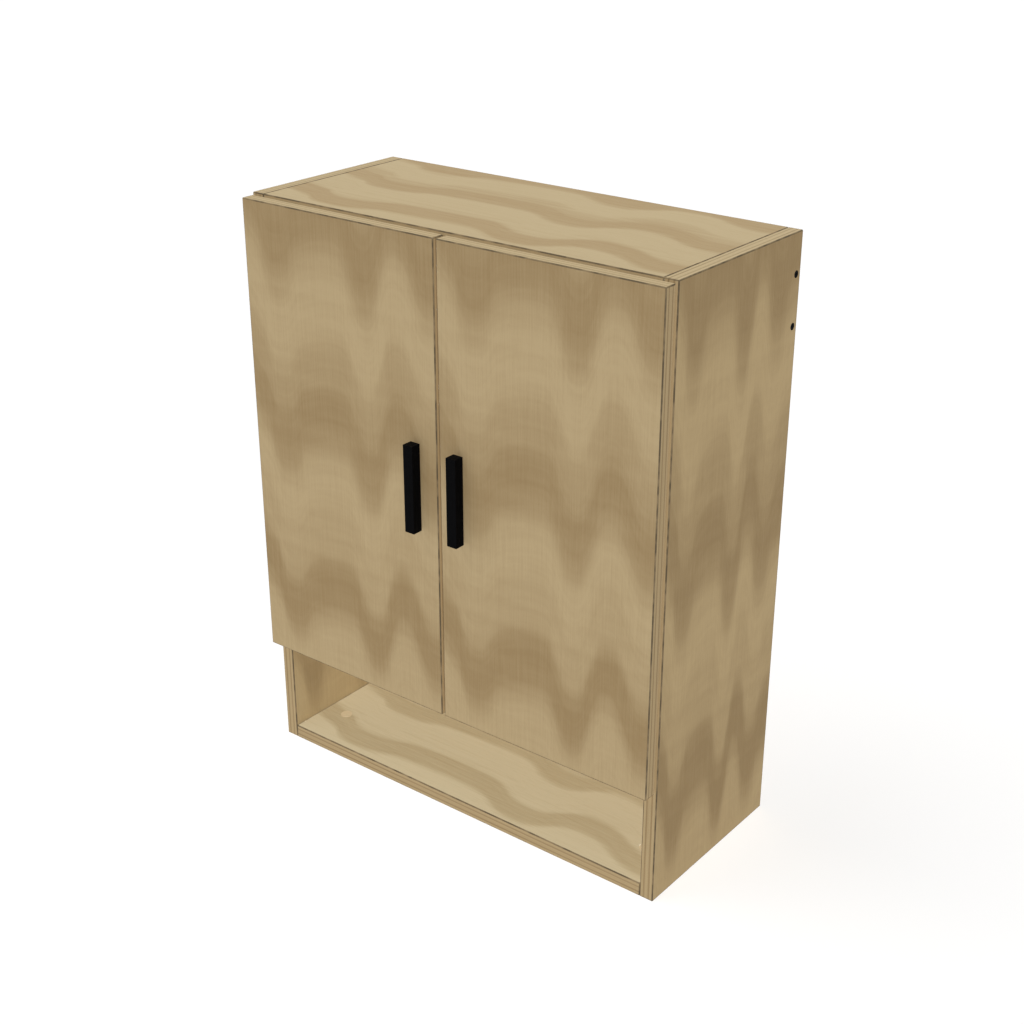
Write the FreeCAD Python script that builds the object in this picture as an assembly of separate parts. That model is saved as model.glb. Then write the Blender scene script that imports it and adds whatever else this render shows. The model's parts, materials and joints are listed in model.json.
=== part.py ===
import FreeCAD, Part
import os
from math import sqrt

# Wall-hung laundry cabinet with two overlay doors above an open cubby.
# Millimetres. X is to the right, Y to the back and Z up. The origin is under the middle of the whole cabinet.

V = FreeCAD.Vector

# Carcass boards
WIDTH = 600.0
HEIGHT = 750.0
DEPTH = 248.0
BOARD = 18.0
ARRIS = 0.8
DIVIDER_UNDERSIDE = 150.0
BACK_THICKNESS = 5.0
BACK_GROOVE = 8.0
BACK_PLAY = 0.2
BACK_END_PLAY = 0.5
RAIL_HEIGHT = 120.0
RAIL_THICKNESS = 18.0

# Adjustable shelf and its pins
SHELF_BOARD = 18.0
SHELF_SETBACK = 22.0
SHELF_BACK_GAP = 2.0
SHELF_END_GAP = 2.0
PIN_DIAMETER = 5.0
PIN_HOLE_DEPTH = 10.0
PIN_INSERT = 9.0
PIN_REACH = 9.0
PIN_COLLAR = 8.0
PIN_COLLAR_THICKNESS = 1.4
PIN_ROW_FROM_FRONT = 64.0
PIN_ROW_FROM_BACK = 37.0
PIN_PITCH = 32.0
PIN_STEPS_EACH_WAY = 3

# Doors
DOOR_BOARD = 18.0
DOOR_GAP = 1.6
DOOR_EASE = 2.0
SIDE_REVEAL = 2.0
TOP_REVEAL = 3.0
MEETING_GAP = 4.0
BUMPER_DIAMETER = 8.0
BUMPER_PLAY = 0.1
BUMPER_EDGE = 14.0

# Handles
HANDLE_CENTRES = 96.0
HANDLE_BAR = 14.0
HANDLE_STANDOFF = 3.0
HANDLE_FOOT = 8.0
HANDLE_EDGE = 30.0
HANDLE_ROUNDING = 0.6
HANDLE_SCREW = 4.0
HANDLE_SCREW_GRIP = 8.0
HANDLE_SCREW_HEAD = 8.4
HANDLE_SCREW_HEAD_HEIGHT = 2.4

# Knock-down corner fittings
CAM_DIAMETER = 15.0
CAM_BORE_DEPTH = 13.6
CAM_PLAY = 0.1
CAM_DISTANCE = 34.0
CAM_FROM_FRONT = 62.0
CAM_FROM_BACK = 62.0
CAM_SLOT_WIDTH = 1.4
CAM_SLOT_LENGTH = 7.0
CAM_SLOT_DEPTH = 1.5
CAP_DIAMETER = 15.6
CAP_THICKNESS = 1.0
CAP_BEVEL = 0.4
BOLT_THREAD = 6.0
BOLT_THREAD_LENGTH = 11.0
BOLT_SHANK = 5.2
BOLT_HEAD = 6.8
BOLT_HEAD_LENGTH = 3.6
BOLT_CHANNEL = 8.0
BOLT_HEAD_PLAY = 0.3
DOWEL_DIAMETER = 8.0
DOWEL_LENGTH = 24.0
DOWEL_END_PLAY = 0.5
DOWEL_BEVEL = 1.0
DOWEL_FROM_CAM = 32.0

# Rail screws, seen as black heads on the sides, and the holes for the wall screws
RAIL_SCREW_SHANK = 4.5
RAIL_SCREW_HEAD = 8.6
RAIL_SCREW_HEAD_HEIGHT = 2.6
RAIL_SCREW_LENGTH = 50.0
RAIL_SCREW_FROM_RAIL_EDGE = 30.0
SCREW_PLAY = 0.25
DRIVE_WIDTH = 1.0
DRIVE_LENGTH = 3.6
DRIVE_DEPTH = 1.0
WALL_HOLE = 6.5
WALL_HOLE_SPACING = 400.0

# Concealed single-pivot hinges
HINGE_FROM_DOOR_END = 90.0
CUP_DIAMETER = 35.0
CUP_DEPTH = 13.5
CUP_FLOOR = 0.8
CUP_BEVEL = 1.0
CUP_EDGE = 3.0
CUP_PLAY = 0.1
WING_THICKNESS = 1.0
WING_WIDTH = 13.0
WING_OFFSET = 9.5
WING_SCREW_SPACING = 45.0
PIVOT_EDGE = 6.9
PIVOT_DEPTH = 9.5
HINGE_PIN = 2.5
HINGE_PIN_INSET = 0.3
HINGE_PIN_PLAY = 0.05
EYE_DIAMETER = 4.4
ARM_THICKNESS = 2.2
ARM_NECK_WIDTH = 8.0
ARM_DROP = 1.0
ARM_REACH = 15.5
ARM_BEND = 4.0
ARM_WIDTH = 15.0
ARM_LIP = 2.5
ARM_LIP_THICKNESS = 1.5
ARM_TAPER_FROM_FRONT = 2.0
ARM_TAPER_LENGTH = 8.0
ARM_END_FROM_FRONT = 58.0
POCKET_SIDE_PLAY = 0.4
POCKET_EDGE_WALL = 1.4
POCKET_END_PLAY = 1.9
SPRING_THICKNESS = 0.5
SPRING_WIDTH = 7.6
SPRING_TAB = 3.0
SPRING_BEND = 1.0
SPRING_PAST_PIVOT = 1.0
PLATE_FROM_FRONT = 14.0
PLATE_LENGTH = 46.0
PLATE_LIP_PLAY = 0.5
PLATE_WING_THICKNESS = 2.0
PLATE_WING_WIDTH = 12.0
PLATE_SCREWS_FROM_FRONT = 37.0
PLATE_SCREW_SPACING = 32.0
PLATE_WING_END = 7.0
WOOD_SCREW = 3.6
WOOD_SCREW_HEAD = 6.8
WOOD_SCREW_HEAD_HEIGHT = 1.7
WOOD_SCREW_LENGTH = 14.0
CUP_SCREW_LENGTH = 12.0
ARM_SCREW = 4.0
ARM_SCREW_HEAD = 7.6
ARM_SCREW_HEAD_HEIGHT = 1.8
ARM_SCREW_TIP_GAP = 0.4
ARM_SCREWS_FROM_FRONT = (26.0, 48.0)

# Derived planes of the carcass
OVERALL_DEPTH = DEPTH + DOOR_GAP + DOOR_BOARD + HANDLE_STANDOFF + HANDLE_BAR
BACK_Y = OVERALL_DEPTH / 2
FRONT_Y = BACK_Y - DEPTH
OUTER_X = WIDTH / 2
INNER_X = OUTER_X - BOARD
RAIL_FRONT_Y = BACK_Y - RAIL_THICKNESS
PANEL_FRONT_Y = RAIL_FRONT_Y - BACK_THICKNESS
DIVIDER_BACK_Y = PANEL_FRONT_Y - BACK_PLAY
TOP_Z = (HEIGHT - BOARD, HEIGHT)
BOTTOM_Z = (0.0, BOARD)
DIVIDER_Z = (DIVIDER_UNDERSIDE, DIVIDER_UNDERSIDE + BOARD)
RAIL_Z = (TOP_Z[0] - RAIL_HEIGHT, TOP_Z[0])
CAM_ROWS = (FRONT_Y + CAM_FROM_FRONT, BACK_Y - CAM_FROM_BACK)
DOWEL_ROWS = (CAM_ROWS[0] + DOWEL_FROM_CAM, CAM_ROWS[1] - DOWEL_FROM_CAM)
PIN_COLUMNS = (FRONT_Y + PIN_ROW_FROM_FRONT, PANEL_FRONT_Y - PIN_ROW_FROM_BACK)
SHELF_PIN_Z = (DIVIDER_Z[1] + TOP_Z[0]) / 2
SHELF_UNDERSIDE = SHELF_PIN_Z + PIN_DIAMETER / 2
RAIL_SCREW_Y = BACK_Y - RAIL_THICKNESS / 2
RAIL_SCREW_ROWS = (RAIL_Z[0] + RAIL_SCREW_FROM_RAIL_EDGE, RAIL_Z[1] - RAIL_SCREW_FROM_RAIL_EDGE)

# Derived planes of the right door, which the left one mirrors
DOOR_BACK_Y = FRONT_Y - DOOR_GAP
DOOR_FRONT_Y = DOOR_BACK_Y - DOOR_BOARD
DOOR_X = (MEETING_GAP / 2, OUTER_X - SIDE_REVEAL)
DOOR_Z = (DIVIDER_UNDERSIDE, HEIGHT - TOP_REVEAL)
HANDLE_X = DOOR_X[0] + HANDLE_EDGE
HANDLE_BACK_Y = DOOR_FRONT_Y - HANDLE_STANDOFF
HANDLE_MIDDLE_Z = (DOOR_Z[0] + DOOR_Z[1]) / 2
HANDLE_ROWS = (HANDLE_MIDDLE_Z - HANDLE_CENTRES / 2, HANDLE_MIDDLE_Z + HANDLE_CENTRES / 2)
HINGE_ROWS = {"upper": DOOR_Z[1] - HINGE_FROM_DOOR_END, "lower": DOOR_Z[0] + HINGE_FROM_DOOR_END}

# Derived places of the right-hand hinge, seen from above
PIVOT_X = DOOR_X[1] - PIVOT_EDGE
PIVOT_Y = DOOR_BACK_Y - PIVOT_DEPTH
CUP_X = DOOR_X[1] - CUP_EDGE - CUP_DIAMETER / 2
PIN_EDGE_FROM_CUP_AXIS = PIVOT_X + HINGE_PIN / 2 - CUP_X
HINGE_PIN_HALF_LENGTH = sqrt((CUP_DIAMETER / 2) ** 2 - PIN_EDGE_FROM_CUP_AXIS ** 2) - HINGE_PIN_INSET
ARM_X = PIVOT_X - ARM_REACH
PLATE_TOP_X = ARM_X + ARM_THICKNESS / 2
PLATE_HALF_WIDTH = ARM_WIDTH / 2 - ARM_LIP_THICKNESS - PLATE_LIP_PLAY
POCKET_FLOOR_Y = DOOR_BACK_Y - CUP_DEPTH + CUP_FLOOR
POCKET_X = (ARM_X - ARM_THICKNESS / 2 - POCKET_END_PLAY, DOOR_X[1] - CUP_EDGE - POCKET_EDGE_WALL)
POCKET_HALF_WIDTH = ARM_NECK_WIDTH / 2 + POCKET_SIDE_PLAY


def box(x, y, z):
    """Box from a (low, high) pair along each axis."""
    return Part.makeBox(x[1] - x[0], y[1] - y[0], z[1] - z[0], V(x[0], y[0], z[0]))


def board(x, y, z):
    """Board cut to size, with all its arrises eased."""
    blank = box(x, y, z)
    return blank.makeChamfer(ARRIS, blank.Edges)


def rod(diameter, start, end):
    """Round bar between two points."""
    return Part.makeCylinder(diameter / 2, (end - start).Length, start, end - start)


def turned(profile, base, axis):
    """Turned piece: (distance along the axis, radius) pairs, closed on the axis, spun about it."""
    points = [V(0, 0, profile[0][0])] + [V(r, 0, h) for h, r in profile] + [V(0, 0, profile[-1][0])]
    face = Part.Face(Part.makePolygon(points + points[:1]))
    solid = face.revolve(V(0, 0, 0), V(0, 0, 1), 360)
    solid.Placement = FreeCAD.Placement(base, FreeCAD.Rotation(V(0, 0, 1), axis))
    return solid


def one(shape):
    """The single solid that a boolean operation leaves."""
    return shape.removeSplitter().Solids[0]


def cut(solid, tools):
    return one(solid.cut(tools))


def fuse(solid, others):
    return one(solid.fuse(others))


def mirrored(shape):
    return shape.mirror(V(0, 0, 0), V(1, 0, 0))


def both_sides(solids):
    return solids + [mirrored(solid) for solid in solids]


def outline(points, direction):
    """Flat outline through the points, pushed along a direction."""
    return Part.Face(Part.makePolygon(points + points[:1])).extrude(direction)


def bent_strip(start, corner, end, bend, thickness, width):
    """Metal strip lying along two legs that meet in a rounded corner, centred on start.z across its width."""
    leg_in = (start - corner).normalize()
    leg_out = (end - corner).normalize()
    first = corner + leg_in * bend
    last = corner + leg_out * bend
    middle = corner + (leg_in + leg_out) * bend * (1 - 0.5 ** 0.5)
    arc = Part.Arc(first, middle, last).toShape()
    path = Part.Wire([Part.makeLine(start, first), arc, Part.makeLine(last, end)])
    across = leg_in.cross(V(0, 0, 1)) * (thickness / 2)
    up = V(0, 0, width / 2)
    corners = [start + across + up, start - across + up, start - across - up, start + across - up]
    profile = Part.makePolygon(corners + corners[:1])
    return Part.Solid(path.makePipeShell([profile], True, True))


def cross_recess(base, axis):
    """Cross-shaped driver recess to take out of a screw head whose top is at base, facing along axis."""
    half = DRIVE_LENGTH / 2
    thin = DRIVE_WIDTH / 2
    depth = (-DRIVE_DEPTH, 0)
    bars = [box((-half, half), (-thin, thin), depth), box((-thin, thin), (-half, half), depth)]
    for bar in bars:
        bar.Placement = FreeCAD.Placement(base, FreeCAD.Rotation(V(0, 0, 1), axis))
    return bars


def flat_head_screw(top, axis, shank, head, head_height, length):
    """Countersunk screw with its head's top at top, driven along axis."""
    profile = [(0, head / 2), (head_height, shank / 2), (length - shank, shank / 2), (length, shank / 8)]
    return cut(turned(profile, top, axis), cross_recess(top, axis * -1))


def pan_head_screw(seat, axis, shank, head, head_height, length):
    """Screw whose low round head sits on the seat, driven along axis."""
    bevel = head_height / 3
    profile = [(-head_height, head / 2 - bevel), (bevel - head_height, head / 2), (0, head / 2),
               (0, shank / 2), (length, shank / 2)]
    top = seat - axis * head_height
    return cut(turned(profile, seat, axis), cross_recess(top, axis * -1))


def rail_screws():
    """Right-hand screws through the side into the end of the hanging rail."""
    return [flat_head_screw(V(OUTER_X, RAIL_SCREW_Y, z), V(-1, 0, 0), RAIL_SCREW_SHANK, RAIL_SCREW_HEAD,
                            RAIL_SCREW_HEAD_HEIGHT, RAIL_SCREW_LENGTH) for z in RAIL_SCREW_ROWS]


def side_panel():
    """Right side: grooved for the back and drilled for every fitting it carries."""
    panel = board((INNER_X, OUTER_X), (FRONT_Y, BACK_Y), (0, HEIGHT))
    groove_z = (BOTTOM_Z[1] - BACK_GROOVE, TOP_Z[0] + BACK_GROOVE)
    tools = [box((INNER_X, INNER_X + BACK_GROOVE), (DIVIDER_BACK_Y, RAIL_FRONT_Y), groove_z)]
    for low, high in (TOP_Z, BOTTOM_Z, DIVIDER_Z):
        middle = (low + high) / 2
        for y in CAM_ROWS:
            tools.append(rod(BOLT_THREAD, V(INNER_X, y, middle), V(INNER_X + BOLT_THREAD_LENGTH, y, middle)))
        for y in DOWEL_ROWS:
            depth = DOWEL_LENGTH / 2 + DOWEL_END_PLAY
            tools.append(rod(DOWEL_DIAMETER, V(INNER_X, y, middle), V(INNER_X + depth, y, middle)))
    for step in range(-PIN_STEPS_EACH_WAY, PIN_STEPS_EACH_WAY + 1):
        z = SHELF_PIN_Z + step * PIN_PITCH
        for y in PIN_COLUMNS:
            tools.append(rod(PIN_DIAMETER, V(INNER_X, y, z), V(INNER_X + PIN_HOLE_DEPTH, y, z)))
    tools += [screw for z in HINGE_ROWS.values() for screw in plate_screws(z)]
    for z in RAIL_SCREW_ROWS:
        clear = RAIL_SCREW_SHANK + 2 * SCREW_PLAY
        tools.append(rod(clear, V(INNER_X, RAIL_SCREW_Y, z), V(OUTER_X, RAIL_SCREW_Y, z)))
        sink = [(0, RAIL_SCREW_HEAD / 2), (RAIL_SCREW_HEAD_HEIGHT, RAIL_SCREW_SHANK / 2)]
        tools.append(turned(sink, V(OUTER_X, RAIL_SCREW_Y, z), V(-1, 0, 0)))
    return cut(panel, tools)


def cross_panel(z, back_y, cam_face):
    """Board between the sides, with cam pockets opening on its upper (+1) or lower (-1) face."""
    panel = board((-INNER_X, INNER_X), (FRONT_Y, back_y), z)
    middle = (z[0] + z[1]) / 2
    face_z = z[1] if cam_face > 0 else z[0]
    tools = []
    for y in CAM_ROWS:
        cam_x = INNER_X - CAM_DISTANCE
        tools.append(rod(CAM_DIAMETER, V(cam_x, y, face_z), V(cam_x, y, face_z - cam_face * CAM_BORE_DEPTH)))
        tools.append(rod(BOLT_CHANNEL, V(cam_x, y, middle), V(INNER_X, y, middle)))
    for y in DOWEL_ROWS:
        depth = DOWEL_LENGTH / 2 + DOWEL_END_PLAY
        tools.append(rod(DOWEL_DIAMETER, V(INNER_X - depth, y, middle), V(INNER_X, y, middle)))
    return cut(panel, both_sides(tools))


def corner_fittings(z, cam_face):
    """Cams, caps, bolts and dowels at the right-hand end of a board between the sides."""
    middle = (z[0] + z[1]) / 2
    face_z = z[1] if cam_face > 0 else z[0]
    cam_x = INNER_X - CAM_DISTANCE
    outward = V(0, 0, cam_face)
    cams, caps, bolts, dowels = [], [], [], []
    for y in CAM_ROWS:
        face = V(cam_x, y, face_z)
        cam = rod(CAM_DIAMETER - 2 * CAM_PLAY, face, face - outward * CAM_BORE_DEPTH)
        head_end = V(cam_x - BOLT_HEAD_LENGTH, y, middle)
        head_room = rod(BOLT_HEAD + 2 * BOLT_HEAD_PLAY, head_end, V(INNER_X, y, middle))
        slot = box((cam_x - CAM_SLOT_LENGTH / 2, cam_x + CAM_SLOT_LENGTH / 2),
                   (y - CAM_SLOT_WIDTH / 2, y + CAM_SLOT_WIDTH / 2),
                   (face_z - CAM_SLOT_DEPTH, face_z + CAM_SLOT_DEPTH))
        cams.append(cut(cam, [head_room, slot]))
        radius = CAP_DIAMETER / 2
        rise = [(0, radius), (CAP_THICKNESS - CAP_BEVEL, radius), (CAP_THICKNESS, radius - CAP_BEVEL)]
        caps.append(turned(rise, face, outward))
        reach = BOLT_THREAD_LENGTH + CAM_DISTANCE
        neck = reach - BOLT_HEAD_LENGTH
        bolt = [(0, BOLT_THREAD / 2), (BOLT_THREAD_LENGTH, BOLT_THREAD / 2),
                (BOLT_THREAD_LENGTH, BOLT_SHANK / 2), (neck, BOLT_SHANK / 2), (neck, BOLT_HEAD / 2),
                (reach, BOLT_HEAD / 2)]
        bolts.append(turned(bolt, V(INNER_X + BOLT_THREAD_LENGTH, y, middle), V(-1, 0, 0)))
    for y in DOWEL_ROWS:
        radius = DOWEL_DIAMETER / 2
        dowel = [(0, radius - DOWEL_BEVEL), (DOWEL_BEVEL, radius), (DOWEL_LENGTH - DOWEL_BEVEL, radius),
                 (DOWEL_LENGTH, radius - DOWEL_BEVEL)]
        dowels.append(turned(dowel, V(INNER_X - DOWEL_LENGTH / 2, y, middle), V(1, 0, 0)))
    return cams, caps, bolts, dowels


def back_groove(z):
    """Tool for the groove that holds the back panel's upper or lower edge."""
    return box((-INNER_X, INNER_X), (DIVIDER_BACK_Y, RAIL_FRONT_Y), z)


def wall_holes():
    """Clearance holes for the wall screws, through the back panel and the rail."""
    z = (RAIL_Z[0] + RAIL_Z[1]) / 2
    x = WALL_HOLE_SPACING / 2
    return both_sides([rod(WALL_HOLE, V(x, PANEL_FRONT_Y, z), V(x, BACK_Y, z))])


def back_panel():
    reach = BACK_GROOVE - BACK_END_PLAY
    sheet = box((-INNER_X - reach, INNER_X + reach), (PANEL_FRONT_Y, RAIL_FRONT_Y),
                (BOTTOM_Z[1] - BACK_GROOVE, TOP_Z[0] + reach))
    return cut(sheet, wall_holes())


def hanging_rail():
    rail = board((-INNER_X, INNER_X), (RAIL_FRONT_Y, BACK_Y), RAIL_Z)
    return cut(rail, wall_holes() + both_sides(rail_screws()))


def adjustable_shelf():
    x = INNER_X - SHELF_END_GAP
    y = (FRONT_Y + SHELF_SETBACK, PANEL_FRONT_Y - SHELF_BACK_GAP)
    return board((-x, x), y, (SHELF_UNDERSIDE, SHELF_UNDERSIDE + SHELF_BOARD))


def shelf_pins():
    """Right-hand pins: a peg in the side, a collar against it and a peg under the shelf."""
    radius = PIN_DIAMETER / 2
    collar = PIN_INSERT + PIN_COLLAR_THICKNESS
    profile = [(0, radius), (PIN_INSERT, radius), (PIN_INSERT, PIN_COLLAR / 2), (collar, PIN_COLLAR / 2),
               (collar, radius), (PIN_INSERT + PIN_REACH, radius)]
    return [turned(profile, V(INNER_X + PIN_INSERT, y, SHELF_PIN_Z), V(-1, 0, 0)) for y in PIN_COLUMNS]


def door():
    """Right door: bored for the hinge cups and handle, eased on the edge that swings past the carcass."""
    panel = board(DOOR_X, (DOOR_FRONT_Y, DOOR_BACK_Y), DOOR_Z)
    corner = V(DOOR_X[1], DOOR_BACK_Y, DOOR_Z[0])
    wedge = [corner, corner - V(DOOR_EASE, 0, 0), corner - V(0, DOOR_EASE, 0)]
    tools = [outline(wedge, V(0, 0, DOOR_Z[1] - DOOR_Z[0]))]
    for z in HINGE_ROWS.values():
        floor = V(CUP_X, DOOR_BACK_Y - CUP_DEPTH - CUP_PLAY, z)
        tools.append(rod(CUP_DIAMETER + 2 * CUP_PLAY, floor, V(CUP_X, DOOR_BACK_Y, z)))
        tools += cup_screws(z)
    for z in HANDLE_ROWS:
        clear = HANDLE_SCREW + 2 * SCREW_PLAY
        tools.append(rod(clear, V(HANDLE_X, DOOR_FRONT_Y, z), V(HANDLE_X, DOOR_BACK_Y, z)))
    return cut(panel, tools)


def door_bumpers():
    """Right door's soft pads, where its back meets the edges of the top and the divider."""
    thickness = DOOR_GAP - BUMPER_PLAY
    radius = BUMPER_DIAMETER / 2
    dome = [(0, radius), (thickness / 2, radius), (thickness, radius - thickness / 2)]
    rows = [(low + high) / 2 for low, high in (TOP_Z, DIVIDER_Z)]
    return [turned(dome, V(DOOR_X[0] + BUMPER_EDGE, DOOR_BACK_Y, z), V(0, 1, 0)) for z in rows]


def handle():
    """Right handle: a square bar on two short round feet."""
    half = HANDLE_BAR / 2
    ends = (HANDLE_ROWS[0] - half, HANDLE_ROWS[1] + half)
    bar = box((HANDLE_X - half, HANDLE_X + half), (HANDLE_BACK_Y - HANDLE_BAR, HANDLE_BACK_Y), ends)
    bar = bar.makeFillet(HANDLE_ROUNDING, bar.Edges)
    feet = [rod(HANDLE_FOOT, V(HANDLE_X, HANDLE_BACK_Y - half, z), V(HANDLE_X, DOOR_FRONT_Y, z))
            for z in HANDLE_ROWS]
    return cut(fuse(bar, feet), handle_screws())


def handle_screws():
    length = DOOR_BOARD + HANDLE_STANDOFF + HANDLE_SCREW_GRIP
    return [pan_head_screw(V(HANDLE_X, DOOR_BACK_Y, z), V(0, -1, 0), HANDLE_SCREW, HANDLE_SCREW_HEAD,
                           HANDLE_SCREW_HEAD_HEIGHT, length) for z in HANDLE_ROWS]


def hinge_pin(z):
    half = V(0, 0, HINGE_PIN_HALF_LENGTH)
    middle = V(PIVOT_X, PIVOT_Y, z)
    return rod(HINGE_PIN, middle - half, middle + half)


def wing_plate(z):
    """Flat wings of the cup that lie on the door's back, with rounded ends around their screws."""
    low = V(CUP_X - WING_OFFSET, DOOR_BACK_Y, z - WING_SCREW_SPACING / 2)
    high = low + V(0, 0, WING_SCREW_SPACING)
    thick = V(0, WING_THICKNESS, 0)
    half = WING_WIDTH / 2
    plate = box((low.x - half, low.x + half), (low.y, low.y + WING_THICKNESS), (low.z, high.z))
    return [plate, rod(WING_WIDTH, low, low + thick), rod(WING_WIDTH, high, high + thick)]


def hinge_cup(z):
    """Die-cast cup with wings, a pocket that the arm folds into and cheeks that hold the pin."""
    radius = CUP_DIAMETER / 2
    profile = [(0, radius - CUP_BEVEL), (CUP_BEVEL, radius), (CUP_DEPTH, radius)]
    cup = turned(profile, V(CUP_X, DOOR_BACK_Y - CUP_DEPTH, z), V(0, 1, 0))
    cup = fuse(cup, wing_plate(z))
    pocket = box(POCKET_X, (POCKET_FLOOR_Y, DOOR_BACK_Y + WING_THICKNESS),
                 (z - POCKET_HALF_WIDTH, z + POCKET_HALF_WIDTH))
    return cut(cup, [pocket, hinge_pin(z)] + cup_screws(z))


def cup_screws(z):
    seats = [V(CUP_X - WING_OFFSET, DOOR_BACK_Y + WING_THICKNESS, z + side * WING_SCREW_SPACING / 2)
             for side in (-1, 1)]
    return [pan_head_screw(seat, V(0, -1, 0), WOOD_SCREW, WOOD_SCREW_HEAD, WOOD_SCREW_HEAD_HEIGHT,
                           CUP_SCREW_LENGTH) for seat in seats]


def hinge_spring(z):
    """Leaf spring on the pocket floor under the arm's eye, with a tab up the pocket's end."""
    floor_y = POCKET_FLOOR_Y + SPRING_THICKNESS / 2
    corner = V(POCKET_X[0] + SPRING_THICKNESS / 2, floor_y, z)
    end = V(PIVOT_X + SPRING_PAST_PIVOT, floor_y, z)
    return bent_strip(end, corner, corner + V(0, SPRING_TAB, 0), SPRING_BEND, SPRING_THICKNESS, SPRING_WIDTH)


def hinge_arm(z):
    """Gooseneck from the eye round the carcass edge, widening to a channel that straddles the plate."""
    taper = FRONT_Y + ARM_TAPER_FROM_FRONT
    wide = taper + ARM_TAPER_LENGTH
    end = FRONT_Y + ARM_END_FROM_FRONT
    eye = V(PIVOT_X, PIVOT_Y, z)
    neck_start = eye - V(0, ARM_DROP, 0)
    bend = V(ARM_X, neck_start.y, z)
    neck = bent_strip(neck_start, bend, V(ARM_X, taper, z), ARM_BEND, ARM_THICKNESS, ARM_NECK_WIDTH)
    across = V(0, 0, ARM_NECK_WIDTH / 2)
    knuckle = rod(EYE_DIAMETER, eye - across, eye + across)
    face_x = ARM_X - ARM_THICKNESS / 2
    narrow, broad = ARM_NECK_WIDTH / 2, ARM_WIDTH / 2
    rim = [V(face_x, taper, z - narrow), V(face_x, wide, z - broad), V(face_x, end, z - broad),
           V(face_x, end, z + broad), V(face_x, wide, z + broad), V(face_x, taper, z + narrow)]
    web = outline(rim, V(ARM_THICKNESS, 0, 0))
    lips = [box((ARM_X, PLATE_TOP_X + ARM_LIP), (wide, end), (low, low + ARM_LIP_THICKNESS))
            for low in (z - broad, z + broad - ARM_LIP_THICKNESS)]
    arm = fuse(neck, [knuckle, web] + lips)
    bore = rod(HINGE_PIN + 2 * HINGE_PIN_PLAY, eye - across, eye + across)
    clear = ARM_SCREW + 2 * SCREW_PLAY
    holes = [rod(clear, V(face_x, FRONT_Y + y, z), V(PLATE_TOP_X, FRONT_Y + y, z))
             for y in ARM_SCREWS_FROM_FRONT]
    return cut(arm, [bore] + holes)


def hinge_plate(z):
    """Cross-shaped plate on the side panel: a raised rib under the arm and two screwed wings."""
    rib_y = (FRONT_Y + PLATE_FROM_FRONT, FRONT_Y + PLATE_FROM_FRONT + PLATE_LENGTH)
    rib = box((PLATE_TOP_X, INNER_X), rib_y, (z - PLATE_HALF_WIDTH, z + PLATE_HALF_WIDTH))
    middle_y = FRONT_Y + PLATE_SCREWS_FROM_FRONT
    reach = PLATE_SCREW_SPACING / 2 + PLATE_WING_END - PLATE_WING_WIDTH / 2
    wing_x = INNER_X - PLATE_WING_THICKNESS
    wing_y = (middle_y - PLATE_WING_WIDTH / 2, middle_y + PLATE_WING_WIDTH / 2)
    wings = [box((wing_x, INNER_X), wing_y, (z - reach, z + reach))]
    for side in (-1, 1):
        end = V(wing_x, middle_y, z + side * reach)
        wings.append(rod(PLATE_WING_WIDTH, end, end + V(PLATE_WING_THICKNESS, 0, 0)))
    return cut(fuse(rib, wings), plate_screws(z) + arm_screws(z))


def plate_screws(z):
    y = FRONT_Y + PLATE_SCREWS_FROM_FRONT
    tops = [V(INNER_X - PLATE_WING_THICKNESS, y, z + side * PLATE_SCREW_SPACING / 2) for side in (-1, 1)]
    return [flat_head_screw(top, V(1, 0, 0), WOOD_SCREW, WOOD_SCREW_HEAD, WOOD_SCREW_HEAD_HEIGHT,
                            WOOD_SCREW_LENGTH) for top in tops]


def arm_screws(z):
    """Screws that clamp the arm to its plate."""
    seat_x = ARM_X - ARM_THICKNESS / 2
    length = INNER_X - ARM_SCREW_TIP_GAP - seat_x
    return [pan_head_screw(V(seat_x, FRONT_Y + y, z), V(1, 0, 0), ARM_SCREW, ARM_SCREW_HEAD,
                           ARM_SCREW_HEAD_HEIGHT, length) for y in ARM_SCREWS_FROM_FRONT]


def save(node, solids):
    shape = solids[0] if len(solids) == 1 else Part.makeCompound(solids)
    shape.exportStep("parts/%s.step" % node)


def save_pair(name, solids):
    """The same right-hand solids as a right node and a mirrored left node."""
    save("right_" + name, solids)
    save("left_" + name, [mirrored(solid) for solid in solids])


def build_carcass():
    save_pair("side", [side_panel()])
    top_groove = back_groove((TOP_Z[0], TOP_Z[0] + BACK_GROOVE))
    bottom_groove = back_groove((BOTTOM_Z[1] - BACK_GROOVE, BOTTOM_Z[1]))
    save("top_panel", [cut(cross_panel(TOP_Z, BACK_Y, -1), [top_groove])])
    save("bottom_panel", [cut(cross_panel(BOTTOM_Z, BACK_Y, 1), [bottom_groove])])
    save("divider_shelf", [cross_panel(DIVIDER_Z, DIVIDER_BACK_Y, -1)])
    save("back_panel", [back_panel()])
    save("hanging_rail", [hanging_rail()])
    save("adjustable_shelf", [adjustable_shelf()])
    save("shelf_pins", both_sides(shelf_pins()))
    save("rail_screws", both_sides(rail_screws()))
    sets = [corner_fittings(TOP_Z, -1), corner_fittings(BOTTOM_Z, 1), corner_fittings(DIVIDER_Z, -1)]
    for index, node in enumerate(("cam_locks", "cam_caps", "cam_bolts", "dowels")):
        save(node, both_sides([solid for fittings in sets for solid in fittings[index]]))


def build_doors():
    save_pair("door", [door()])
    save_pair("door_bumpers", door_bumpers())
    save_pair("handle", [handle()])
    save_pair("handle_screws", handle_screws())


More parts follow.
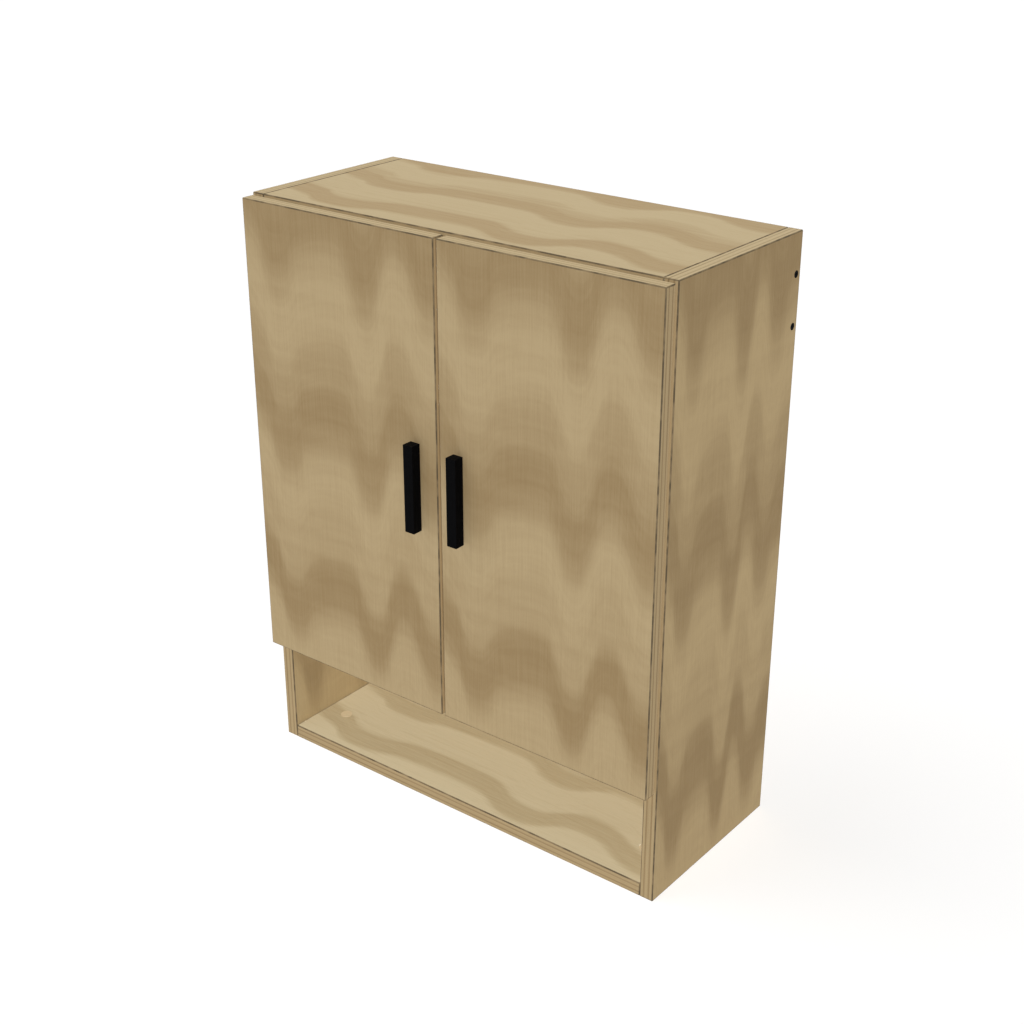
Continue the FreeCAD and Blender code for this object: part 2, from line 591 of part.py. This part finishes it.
def build_hinges():
    for level, z in HINGE_ROWS.items():
        save_pair(level + "_hinge_cup", [hinge_cup(z)])
        save_pair(level + "_hinge_pin", [hinge_pin(z)])
        save_pair(level + "_hinge_spring", [hinge_spring(z)])
        save_pair(level + "_hinge_arm", [hinge_arm(z)])
        save_pair(level + "_hinge_plate", [hinge_plate(z)])
    for name, screws in (("cup", cup_screws), ("plate", plate_screws), ("arm", arm_screws)):
        save_pair("hinge_%s_screws" % name, [screw for z in HINGE_ROWS.values() for screw in screws(z)])


os.makedirs("parts", exist_ok=True)
build_carcass()
build_doors()
build_hinges()
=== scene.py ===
import json
import math
import bpy
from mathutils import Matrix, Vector


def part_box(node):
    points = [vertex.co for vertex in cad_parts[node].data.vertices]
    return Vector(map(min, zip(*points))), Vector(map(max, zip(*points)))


# Laundry cabinet of clear-coated plywood with satin black handles, on a white studio floor.
# Metres, in the CAD model's frame: X to the right, Y to the back and Z up.

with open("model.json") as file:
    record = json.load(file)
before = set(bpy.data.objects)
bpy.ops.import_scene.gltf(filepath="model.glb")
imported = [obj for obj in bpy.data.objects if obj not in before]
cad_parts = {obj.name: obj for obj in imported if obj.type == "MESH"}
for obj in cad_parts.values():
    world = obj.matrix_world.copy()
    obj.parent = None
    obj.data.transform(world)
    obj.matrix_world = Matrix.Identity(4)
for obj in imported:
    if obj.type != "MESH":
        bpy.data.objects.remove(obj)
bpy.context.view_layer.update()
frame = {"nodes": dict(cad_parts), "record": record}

X, Y, Z = range(3)

# Camera of the photograph, in an image of 1024 by 1024 pixels
IMAGE_PIXELS = 1024
FOCAL_PIXELS = 1630.67
SENSOR_MM = 36.0
CAMERA_PLACE = (1.12812, -1.42390, 1.20366)
CAMERA_AZIMUTH = 38.1826
CAMERA_ELEVATION = 24.4172

# Studio light: sun strengths are shares of the light at which a white card renders white
WORLD_WHITE = (1.0, 1.0, 1.0, 1.0)
WORLD_SEEN = 1.0
WORLD_BOUNCE = 0.07
KEY_SPREAD = 40.0
FILL_SPREAD = 10.0
SUNS = {
    "key": {"towards": (0.42, 0.30, -0.86), "share": 0.18, "shadow": True},
    "overhead_fill": {"towards": (0.0, 0.0, -1.0), "share": 0.85, "shadow": False},
    "front_fill": {"towards": (0.0, 1.0, 0.0), "share": 0.53, "shadow": False},
    "right_fill": {"towards": (-1.0, 0.0, 0.0), "share": 0.44, "shadow": False},
    "rear_fill": {"towards": (0.68, -0.68, 0.27), "share": 0.55, "shadow": False},
}
FLOOR_HALF = 12.0
FLOOR_SEEN = 0.94
FLOOR_BOUNCE = 0.65
FLOOR_ROUGHNESS = 0.9
FLOOR_SPECULAR = 0.0

# Ranges of values: the whole one, a falling one, and three that hold most of a noise's values
UNIT = (0.0, 1.0)
FALLING = (1.0, 0.0)
NOISE_CORE = (0.3, 0.7)
NOISE_BODY = (0.25, 0.75)
NOISE_FULL = (0.2, 0.8)

# Wood figure: how far its bands rise across a face, as shares of the face's two sides, at the zigzag's
# peaks and valleys and on its long slopes
BAND_RISE = ((0.0, 0.05), (0.08, 0.0), (0.17, -0.07), (0.3, -0.01), (0.5, 0.01), (0.65, -0.09), (0.8, 0.04),
             (0.98, -0.07), (1.1, -0.02), (1.2, 0.0))
RISE_REACH = (0.0, 1.2)
RISE_SWING = (-0.1, 0.1)
# Darkness from the start of a face to its end: dark bands, with a shoulder before the wood is light again
BAND_TONE = ((-0.1, 0.4), (0.06, 0.2), (0.19, 1.0), (0.29, 0.35), (0.36, 0.3), (0.43, 0.1), (0.58, 0.9),
             (0.65, 0.6), (0.72, 0.45), (0.82, 0.05), (1.0, 0.9), (1.1, 0.25))
TONE_REACH = (-0.1, 1.1)
TONE_SWING = UNIT
# Slow wander of the bands, as a share of the face
WANDER_SCALE = 9.0
WANDER_STRENGTH = 0.012
# Faint straight streaks through the bands, many along a face
STREAK_COUNT = 30.0
STREAK_STRENGTH = 0.08
# Growth rings that follow the bands, long across a face and many along it
RING_STRETCH = 2.0
RING_COUNT = 55.0
RING_STRENGTH = 0.07
# Fibres, hairlines and pores, with their scales along the grain and across it
FIBRE_SCALE = (9.0, 520.0)
FIBRE_STRENGTH = 0.13
HAIR_SCALE = (30.0, 2400.0)
HAIR_STRENGTH = 0.12
PORE_SCALE = (60.0, 1500.0)
PORE_FADE = (0.05, 0.24)
PORE_STRENGTH = 0.3

# Plywood edges: three light plies with a darker one between each two, as shares of the board's thickness
LIGHT_PLY = 4.4 / 18
DARK_PLY = 2.4 / 18
PLY_PAIR = LIGHT_PLY + DARK_PLY
DARK_PLY_STRENGTH = 0.7
GLUE_SOFTNESS = 0.05
# Streaks in the plies, with their scales through the board and along it, and the specks of sawn wood
PLY_STREAK_SCALE = (700.0, 7.0)
PLY_STREAK_TONES = (-0.2, 0.3)
SAWN_SCALE = 900.0
SAWN_STRENGTH = 0.12
# How squarely a surface faces an axis to count as a face or an end
FACE_FACING = (0.85, 0.95)
# Painted shade line along the arrises, by the distance from the edge, fainter in random patches
SHADE_LINE_FADE = (0.001, 0.0016)
SHADE_LINE_PATCH_SCALE = 60.0
SHADE_LINE_PATCHES = (0.35, 0.6)
SHADE_LINE_PATCH_STRENGTH = (0.6, 1.0)
# Painted shade on the walls of bores and grooves, by the depth under the board's surface
BORE_SHADE_FADE = (0.0003, 0.0022)
BORE_SHADE_STRENGTH = 0.85
# Coat of the boards: relief as a depth and a strength, with the shares that make it up
BOARD_RELIEF = (0.00012, 0.6)
FIBRE_RELIEF = 0.5
PORE_RELIEF = 0.5
DARK_PLY_RELIEF = 0.6
BOARD_ROUGHNESS = (0.52, 0.66)
SHADE_LINE_ROUGHNESS = 0.08
BOARD_SPECULAR = 0.05


def srgb(red, green, blue):
    """Shader colour of an 8-bit screen colour."""
    def linear(level):
        share = level / 255
        return share / 12.92 if share <= 0.04045 else ((share + 0.055) / 1.055) ** 2.4
    return (linear(red), linear(green), linear(blue), 1.0)


EDGE_LIGHT = srgb(176, 154, 117)
EDGE_DARK = srgb(140, 118, 84)
END_LIGHT = srgb(184, 165, 129)
END_DARK = srgb(150, 130, 97)
# Colour of the painted shade in bores and grooves
BORE_SHADE = srgb(62, 48, 33)
# Colour of the painted shade line along the arrises
ARRIS_SHADE = srgb(92, 81, 63)


def veneer(kind, light, dark, **changes):
    """Veneer of a kind in two colours, with what it changes of the kind."""
    return {**kind, "light": srgb(*light), "dark": srgb(*dark), **changes}


# Kinds of veneer: fibre axis, how much of the figure's width a face shows, the band tones that are its
# lightest and darkest, and the strength of its bands
UPRIGHT = {"grain": Z, "reach": 1.0, "tones": UNIT, "contrast": 0.94}
LEVEL = {"grain": X, "reach": 1.0, "tones": (0.3, 0.75), "contrast": 0.57}
SIDE_REACH = 1.19
DOOR_VENEER = veneer(UPRIGHT, (182, 161, 124), (151, 128, 92))
# Veneer of each slot that is a board. The two boards that line the open cubby have paler, cooler copies of
# their veneers, by the names of their nodes: painted light against the dimmer, warmer light in the cubby.
VENEERS = {
    "door_board": DOOR_VENEER,
    "back_sheet": DOOR_VENEER,
    "side_board": veneer(UPRIGHT, (183, 160, 120), (150, 127, 91), reach=SIDE_REACH, contrast=1.0),
    "cross_board": veneer(LEVEL, (182, 164, 129), (152, 127, 90)),
    # Painted light: paler copies of the side and cross veneers for the two boards inside the cubby
    "left_side": veneer(UPRIGHT, (184, 164, 126), (152, 132, 98), reach=SIDE_REACH),
    "bottom_panel": veneer(LEVEL, (183, 170, 140), (147, 129, 94), contrast=0.54),
}

# Fittings: scales along the fibres or drawing lines and across them, and reliefs as a depth and a strength
BEECH_LIGHT = srgb(216, 186, 144)
BEECH_DARK = srgb(176, 138, 96)
BEECH_FIBRE_SCALE = (40.0, 900.0)
FLECK_SCALE = (220.0, 1400.0)
FLECK_FADE = (0.05, 0.3)
FLECK_TONES = (0.5, 0.0)
BEECH_ROUGHNESS = 0.62
BEECH_RELIEF = (0.0001, 0.5)

COAT_BLACK = srgb(4, 4, 5)
COAT_GREY = srgb(10, 10, 11)
PEEL_SCALE = 1500.0
PEEL_RELIEF = (0.00006, 0.5)
COAT_CLOUD_SCALE = 120.0
COAT_CLOUD_TONES = (0.0, 0.4)
COAT_ROUNDED = (0.72, 0.98)
COAT_EDGE_STRENGTH = 0.6
COAT_ROUGHNESS = (0.42, 0.52)
COAT_SPECULAR = 0.015

CAP_LIGHT = srgb(188, 170, 136)
CAP_DARK = srgb(182, 164, 130)
CAP_GRAIN_SCALE = 2600.0
CAP_CLOUD_SCALE = 300.0
CAP_ROUGHNESS = (0.45, 0.6)
CAP_RELIEF = (0.00005, 0.5)

METALS = {
    "die_cast": {"bright": srgb(206, 207, 210), "dull": srgb(190, 191, 194), "roughness": 0.36},
    "plated_steel": {"bright": srgb(214, 215, 218), "dull": srgb(198, 199, 203), "roughness": 0.26},
    "spring_steel": {"bright": srgb(150, 152, 160), "dull": srgb(116, 118, 128), "roughness": 0.32},
}
DRAWN_SCALE = (60.0, 2400.0)
METAL_CLOUD_SCALE = 180.0
METAL_WEAR = (0.6, 1.4)
SMOOTHER = 0.06
ROUGHER = 0.1
METAL_RELIEF = (0.00003, 0.35)

PAD_CLEAN = srgb(206, 205, 198)
PAD_DUSTY = srgb(186, 184, 174)
DUST_SCALE = 700.0
DUST_FADE = (0.35, 0.7)
PAD_ROUGHNESS = (0.3, 0.5)
PAD_RELIEF = (0.00004, 0.4)
PAD_GLOW = 0.3
PAD_GLOW_DEPTH = (0.001, 0.001, 0.0009)


class Nodes:
    """Shader node tree. Most calls add a node and return its output socket."""

    def __init__(self, tree):
        self.tree = tree

    def add(self, kind, feeds=None, **settings):
        """New node with its settings, and its inputs fed by sockets or plain values."""
        node = self.tree.nodes.new(kind)
        for name, value in settings.items():
            setattr(node, name, value)
        for name, value in (feeds or {}).items():
            self.feed(node.inputs[name], value)
        return node

    def feed(self, socket, value):
        """Links an output socket to an input one, or sets a plain value there."""
        if isinstance(value, bpy.types.NodeSocket):
            self.tree.links.new(value, socket)
        else:
            socket.default_value = value

    def place(self, kind):
        """Place on an object, as Object metres or Generated shares of its box, or its Normal."""
        return self.add("ShaderNodeTexCoord").outputs[kind]

    def calc(self, operation, *values):
        return self.add("ShaderNodeMath", dict(enumerate(values)), operation=operation).outputs[0]

    def plus(self, first, *others):
        total = first
        for value in others:
            total = self.calc("ADD", total, value)
        return total

    def minus(self, value, less):
        return self.calc("SUBTRACT", value, less)

    def times(self, value, factor):
        return self.calc("MULTIPLY", value, factor)

    def remap(self, value, span, target=UNIT, ease="LINEAR"):
        """Value brought from one range to another, and held at its ends."""
        feeds = {"Value": value, "From Min": span[0], "From Max": span[1],
                 "To Min": target[0], "To Max": target[1]}
        return self.add("ShaderNodeMapRange", feeds, interpolation_type=ease).outputs[0]

    def sway(self, noise, strength, span=NOISE_CORE):
        """Noise brought to both sides of zero."""
        return self.remap(noise, span, (-strength, strength))

    def blend(self, share, first, second):
        """Colour part of the way from the first to the second."""
        node = self.add("ShaderNodeMix", data_type="RGBA")
        colour_inputs = [socket for socket in node.inputs if socket.type == "RGBA"]
        self.feed(node.inputs[0], share)
        self.feed(colour_inputs[0], first)
        self.feed(colour_inputs[1], second)
        return next(socket for socket in node.outputs if socket.type == "RGBA")

    def split(self, vector):
        return self.add("ShaderNodeSeparateXYZ", {"Vector": vector}).outputs

    def join(self, x, y, z):
        return self.add("ShaderNodeCombineXYZ", {"X": x, "Y": y, "Z": z}).outputs[0]

    def stretch(self, vector, axis, along, across):
        """Vector with one scale along an axis and another across it."""
        scale = tuple(along if index == axis else across for index in (X, Y, Z))
        return self.add("ShaderNodeVectorMath", {0: vector, 1: scale}, operation="MULTIPLY").outputs[0]

    def noise(self, vector, scale=1.0, detail=2.0, roughness=0.5):
        feeds = {"Vector": vector, "Scale": scale, "Detail": detail, "Roughness": roughness}
        return self.add("ShaderNodeTexNoise", feeds).outputs[0]

    def cells(self, vector):
        """Distance to the nearest of many scattered points, one in each unit cube."""
        return self.add("ShaderNodeTexVoronoi", {"Vector": vector, "Scale": 1.0}).outputs["Distance"]

    def curve(self, value, points, reach, swing):
        """Smooth line through (place, height) points, with places in reach and heights in swing."""
        node = self.add("ShaderNodeFloatCurve", {"Value": self.remap(value, reach)})
        line = node.mapping.curves[0].points
        for index, (place, height) in enumerate(points):
            spot = ((place - reach[0]) / (reach[1] - reach[0]), (height - swing[0]) / (swing[1] - swing[0]))
            if index < len(line):
                line[index].location = spot
            else:
                line.new(*spot)
        node.mapping.update()
        return self.remap(node.outputs[0], UNIT, swing)

    def bump(self, height, distance, strength):
        feeds = {"Height": height, "Distance": distance, "Strength": strength}
        return self.add("ShaderNodeBump", feeds).outputs[0]

    def box_distances(self, shares, sides):
        """Distances from a point in a box to its nearest face and edge, by its shares of the box's sides.

        A point on the surface is in one face, so the middle one of its distances is the nearest edge's.
        """
        inner = [self.calc("MINIMUM", share, self.minus(1.0, share)) for share in shares]
        x, y, z = [self.times(share, side) for share, side in zip(inner, sides)]
        nearer, farther = self.calc("MINIMUM", x, y), self.calc("MAXIMUM", x, y)
        to_face = self.calc("MINIMUM", nearer, z)
        to_edge = self.calc("MAXIMUM", nearer, self.calc("MINIMUM", farther, z))
        return to_face, to_edge

    def squareness(self, normal):
        """Largest of a direction's three parts: 1 on a square face, less on rounded or chamfered edges."""
        sizes = [self.calc("ABSOLUTE", part) for part in self.split(normal)]
        return self.calc("MAXIMUM", self.calc("MAXIMUM", sizes[X], sizes[Y]), sizes[Z])

    def seen_or_bounced(self, seen, bounced):
        """Value for rays from the camera, in reflections or through glass, and another for bounced light."""
        path = self.add("ShaderNodeLightPath").outputs
        direct = path["Is Camera Ray"]
        for ray in ("Is Glossy Ray", "Is Transmission Ray"):
            direct = self.calc("MAXIMUM", direct, path[ray])
        return self.remap(direct, UNIT, (bounced, seen))


class Shader(Nodes):
    """Node tree of a new material."""

    def __init__(self, name):
        self.material = bpy.data.materials.new(name)
        self.material.use_nodes = True
        super().__init__(self.material.node_tree)

    def finish(self, **feeds):
        """Material with its surface shader fed, with underscores for the spaces in the inputs' names."""
        surface = self.tree.nodes["Principled BSDF"]
        for name, value in feeds.items():
            self.feed(surface.inputs[name.replace("_", " ")], value)
        return self.material


class Plywood(Shader):
    """Clear-coated plywood: banded face veneer, layered edges, a painted shade line along the arrises and
    painted shade in the bores.

    sides are the board's lengths, thick is the axis through it and face is its veneer.
    """

    def __init__(self, name, sides, thick, face):
        super().__init__(name)
        self.thick = thick
        self.face = face
        self.point = self.place("Object")
        self.shares = self.split(self.place("Generated"))
        normal = self.split(self.place("Normal"))
        self.is_face = self.remap(self.calc("ABSOLUTE", normal[thick]), FACE_FACING)
        self.is_end = self.remap(self.calc("ABSOLUTE", normal[face["grain"]]), FACE_FACING)
        self.depth, self.to_edge = self.box_distances(self.shares, sides)
        self.fibre = self.noise(self.along_grain(FIBRE_SCALE), detail=4.0, roughness=0.6)
        self.pores = self.remap(self.cells(self.along_grain(PORE_SCALE)), PORE_FADE, FALLING, "SMOOTHSTEP")
        self.dark_ply = self.dark_plies()
        self.shade_line = self.painted_shade_line()

    def along_grain(self, scale):
        """Point scaled along the board's grain and across it."""
        return self.stretch(self.point, self.face["grain"], *scale)

    def dark_plies(self):
        """How much of a dark ply is at a point, by its place through the board."""
        into_pair = self.calc("FRACT", self.calc("DIVIDE", self.shares[self.thick], PLY_PAIR))
        light_end = LIGHT_PLY / PLY_PAIR
        start = self.remap(into_pair, (light_end - GLUE_SOFTNESS, light_end + GLUE_SOFTNESS))
        end = self.remap(into_pair, (1.0 - 2 * GLUE_SOFTNESS, 1.0), FALLING)
        return self.times(start, end)

    def painted_shade_line(self):
        """Strength of the painted shade line along the arrises, fainter in random patches."""
        shade_line = self.remap(self.to_edge, SHADE_LINE_FADE, FALLING, "SMOOTHSTEP")
        return self.times(shade_line, self.remap(self.noise(self.point, SHADE_LINE_PATCH_SCALE), SHADE_LINE_PATCHES, SHADE_LINE_PATCH_STRENGTH))

    def face_colour(self):
        """Veneer: wavy bands with straight streaks, growth rings, fibres, hairlines and pores."""
        across, along = [axis for axis in (X, Y, Z) if axis != self.thick]
        width = self.times(self.shares[across], self.face["reach"])
        rise = self.curve(width, BAND_RISE, RISE_REACH, RISE_SWING)
        wander = self.sway(self.noise(self.point, WANDER_SCALE), WANDER_STRENGTH, UNIT)
        height = self.plus(self.minus(self.shares[along], rise), wander)
        bands = self.curve(height, BAND_TONE, TONE_REACH, TONE_SWING)
        streaks = self.noise(self.join(0.0, self.times(self.shares[along], STREAK_COUNT), 0.0))
        ring_place = self.join(self.times(width, RING_STRETCH), self.times(height, RING_COUNT), 0.0)
        rings = self.noise(ring_place, detail=3.0)
        hair = self.noise(self.along_grain(HAIR_SCALE))
        figure = self.plus(bands, self.sway(streaks, STREAK_STRENGTH))
        tone = self.plus(
            self.remap(figure, self.face["tones"], (0.0, self.face["contrast"])),
            self.sway(rings, RING_STRENGTH),
            self.sway(self.fibre, FIBRE_STRENGTH, NOISE_BODY),
            self.sway(hair, HAIR_STRENGTH, NOISE_BODY),
            self.times(self.pores, PORE_STRENGTH),
        )
        return self.blend(tone, self.face["light"], self.face["dark"])

    def edge_colour(self):
        """Layered plies, in other colours where they are sawn across the fibres."""
        ply_place = self.stretch(self.point, self.thick, *PLY_STREAK_SCALE)
        streaks = self.noise(ply_place, detail=3.0, roughness=0.6)
        tone = self.plus(
            self.times(self.dark_ply, DARK_PLY_STRENGTH),
            self.remap(streaks, NOISE_CORE, PLY_STREAK_TONES),
            self.sway(self.noise(self.point, SAWN_SCALE), SAWN_STRENGTH),
        )
        long_edge = self.blend(tone, EDGE_LIGHT, EDGE_DARK)
        return self.blend(self.is_end, long_edge, self.blend(tone, END_LIGHT, END_DARK))

    def coated(self):
        """Material of the whole board."""
        colour = self.blend(self.is_face, self.edge_colour(), self.face_colour())
        # Painted shade line along the arrises
        colour = self.blend(self.shade_line, colour, ARRIS_SHADE)
        # Painted shade in bores and grooves, darker with depth under the surface
        bore_shade = self.remap(self.depth, BORE_SHADE_FADE, (0.0, BORE_SHADE_STRENGTH))
        colour = self.blend(bore_shade, colour, BORE_SHADE)
        relief = self.minus(self.times(self.fibre, FIBRE_RELIEF), self.times(self.pores, PORE_RELIEF))
        edge_dip = self.times(self.dark_ply, self.minus(1.0, self.is_face))
        relief = self.minus(relief, self.times(edge_dip, DARK_PLY_RELIEF))
        roughness = self.remap(self.fibre, NOISE_FULL, BOARD_ROUGHNESS)
        roughness = self.plus(roughness, self.times(self.shade_line, SHADE_LINE_ROUGHNESS))
        return self.finish(Base_Color=colour, Roughness=roughness, Specular_IOR_Level=BOARD_SPECULAR,
                           Normal=self.bump(relief, *BOARD_RELIEF))


def beech(name):
    """Plain beech of the dowels: pale, with short darker flecks along the fibres."""
    sh = Shader(name)
    point = sh.place("Object")
    fibre = sh.noise(sh.stretch(point, X, *BEECH_FIBRE_SCALE), detail=4.0, roughness=0.6)
    flecks = sh.remap(sh.cells(sh.stretch(point, X, *FLECK_SCALE)), FLECK_FADE, FLECK_TONES)
    colour = sh.blend(sh.plus(sh.remap(fibre, NOISE_CORE), flecks), BEECH_LIGHT, BEECH_DARK)
    return sh.finish(Base_Color=colour, Roughness=BEECH_ROUGHNESS, Normal=sh.bump(fibre, *BEECH_RELIEF))


def black_coat(name):
    """Satin black powder coat: fine orange peel, a little thinner and greyer on the rounded edges."""
    sh = Shader(name)
    point = sh.place("Object")
    peel = sh.noise(point, PEEL_SCALE)
    cloud = sh.noise(point, COAT_CLOUD_SCALE, detail=3.0)
    worn = sh.remap(sh.squareness(sh.place("Normal")), COAT_ROUNDED, FALLING)
    tone = sh.plus(sh.times(worn, COAT_EDGE_STRENGTH), sh.remap(cloud, NOISE_CORE, COAT_CLOUD_TONES))
    return sh.finish(Base_Color=sh.blend(tone, COAT_BLACK, COAT_GREY),
                     Roughness=sh.remap(cloud, NOISE_CORE, COAT_ROUGHNESS),
                     Specular_IOR_Level=COAT_SPECULAR, Normal=sh.bump(peel, *PEEL_RELIEF))


def moulded_plastic(name):
    """Beige moulded cap with a fine spark-eroded texture."""
    sh = Shader(name)
    point = sh.place("Object")
    grain = sh.noise(point, CAP_GRAIN_SCALE)
    cloud = sh.noise(point, CAP_CLOUD_SCALE)
    return sh.finish(Base_Color=sh.blend(sh.remap(cloud, NOISE_CORE), CAP_LIGHT, CAP_DARK),
                     Roughness=sh.remap(grain, NOISE_CORE, CAP_ROUGHNESS),
                     Normal=sh.bump(grain, *CAP_RELIEF))


def plated_metal(name, bright, dull, roughness):
    """Plated metal with fine drawing lines, clouded polish and a duller, greyer film in places."""
    sh = Shader(name)
    point = sh.place("Object")
    lines = sh.noise(sh.stretch(point, Y, *DRAWN_SCALE))
    cloud = sh.noise(point, METAL_CLOUD_SCALE, detail=3.0)
    wear = sh.remap(sh.plus(lines, cloud), METAL_WEAR, (roughness - SMOOTHER, roughness + ROUGHER))
    return sh.finish(Base_Color=sh.blend(sh.remap(cloud, NOISE_FULL), bright, dull), Metallic=1.0,
                     Roughness=wear, Normal=sh.bump(lines, *METAL_RELIEF))


def soft_pad(name):
    """Clear soft pad: milky, slightly dusty, with light passing into it."""
    sh = Shader(name)
    dust = sh.noise(sh.place("Object"), DUST_SCALE, detail=4.0)
    return sh.finish(Base_Color=sh.blend(sh.remap(dust, DUST_FADE), PAD_CLEAN, PAD_DUSTY),
                     Subsurface_Weight=PAD_GLOW, Subsurface_Radius=PAD_GLOW_DEPTH,
                     Roughness=sh.remap(dust, NOISE_CORE, PAD_ROUGHNESS),
                     Normal=sh.bump(dust, *PAD_RELIEF))


def fitting_finishes():
    """Finish of every slot that isn't a board."""
    makers = {"black_metal": black_coat, "cap_plastic": moulded_plastic, "dowel_wood": beech,
              "bumper_rubber": soft_pad}
    finishes = {slot: make(slot) for slot, make in makers.items()}
    finishes.update({slot: plated_metal(slot, **look) for slot, look in METALS.items()})
    return finishes


def board_sides(node):
    """Lengths of a board's sides, to the tenth of a millimetre."""
    low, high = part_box(node)
    return tuple(round(side, 4) for side in high - low)


def board_finish(kind, sides):
    """Plywood of a board, whose shortest side is its thickness."""
    thick = min((X, Y, Z), key=lambda axis: sides[axis])
    return Plywood("%s_%s" % (kind, "xyz"[thick]), sides, thick, VENEERS[kind]).coated()


def dress_nodes():
    """Gives every CAD node the finish of its slot in the record, one for each size of board."""
    fittings = fitting_finishes()
    boards = {}
    for part in frame["record"]["subparts"]:
        node, slot = part["node"], part["material_slot"]
        if slot in fittings:
            finish = fittings[slot]
        else:
            # A board named in VENEERS by its node gets its paler veneer of painted light
            key = (node if node in VENEERS else slot, board_sides(node))
            if key not in boards:
                boards[key] = board_finish(*key)
            finish = boards[key]
        for holder in frame["nodes"][node].material_slots:
            holder.material = finish


def make_world():
    """White surroundings that add only a little light."""
    world = bpy.data.worlds.new("studio")
    world.use_nodes = True
    sky = Nodes(world.node_tree)
    background = world.node_tree.nodes["Background"]
    sky.feed(background.inputs["Color"], WORLD_WHITE)
    sky.feed(background.inputs["Strength"], sky.seen_or_bounced(WORLD_SEEN, WORLD_BOUNCE))
    bpy.context.scene.world = world


def make_floor():
    """Large white floor that shows the cabinet's soft shadow."""
    corners = [(x * FLOOR_HALF, y * FLOOR_HALF, 0.0) for x, y in ((-1, -1), (1, -1), (1, 1), (-1, 1))]
    mesh = bpy.data.meshes.new("floor")
    mesh.from_pydata(corners, [], [range(len(corners))])
    sh = Shader("floor")
    finish = sh.finish(Base_Color=sh.seen_or_bounced(FLOOR_SEEN, FLOOR_BOUNCE), Roughness=FLOOR_ROUGHNESS,
                       Specular_IOR_Level=FLOOR_SPECULAR)
    mesh.materials.append(finish)
    floor = bpy.data.objects.new("floor", mesh)
    bpy.context.collection.objects.link(floor)


def make_suns():
    """Soft key light with a shadow, and fill lights without."""
    for name, sun in SUNS.items():
        light = bpy.data.lights.new(name, "SUN")
        light.energy = sun["share"] * math.pi
        light.angle = math.radians(KEY_SPREAD if sun["shadow"] else FILL_SPREAD)
        light.use_shadow = sun["shadow"]
        lamp = bpy.data.objects.new(name, light)
        lamp.rotation_euler = Vector(sun["towards"]).to_track_quat("-Z", "Y").to_euler()
        bpy.context.collection.objects.link(lamp)


def make_camera():
    """Camera at the place and angle of the photograph's."""
    turn, tilt = math.radians(CAMERA_AZIMUTH), math.radians(CAMERA_ELEVATION)
    back = Vector((math.sin(turn) * math.cos(tilt), -math.cos(turn) * math.cos(tilt), math.sin(tilt)))
    data = bpy.data.cameras.new("camera")
    data.sensor_width = SENSOR_MM
    data.lens = SENSOR_MM * FOCAL_PIXELS / IMAGE_PIXELS
    camera = bpy.data.objects.new("camera", data)
    camera.location = CAMERA_PLACE
    camera.rotation_euler = back.to_track_quat("Z", "Y").to_euler()
    bpy.context.collection.objects.link(camera)
    bpy.context.scene.camera = camera


dress_nodes()
make_world()
make_floor()
make_suns()
make_camera()
bpy.context.scene.view_settings.view_transform = "Standard"
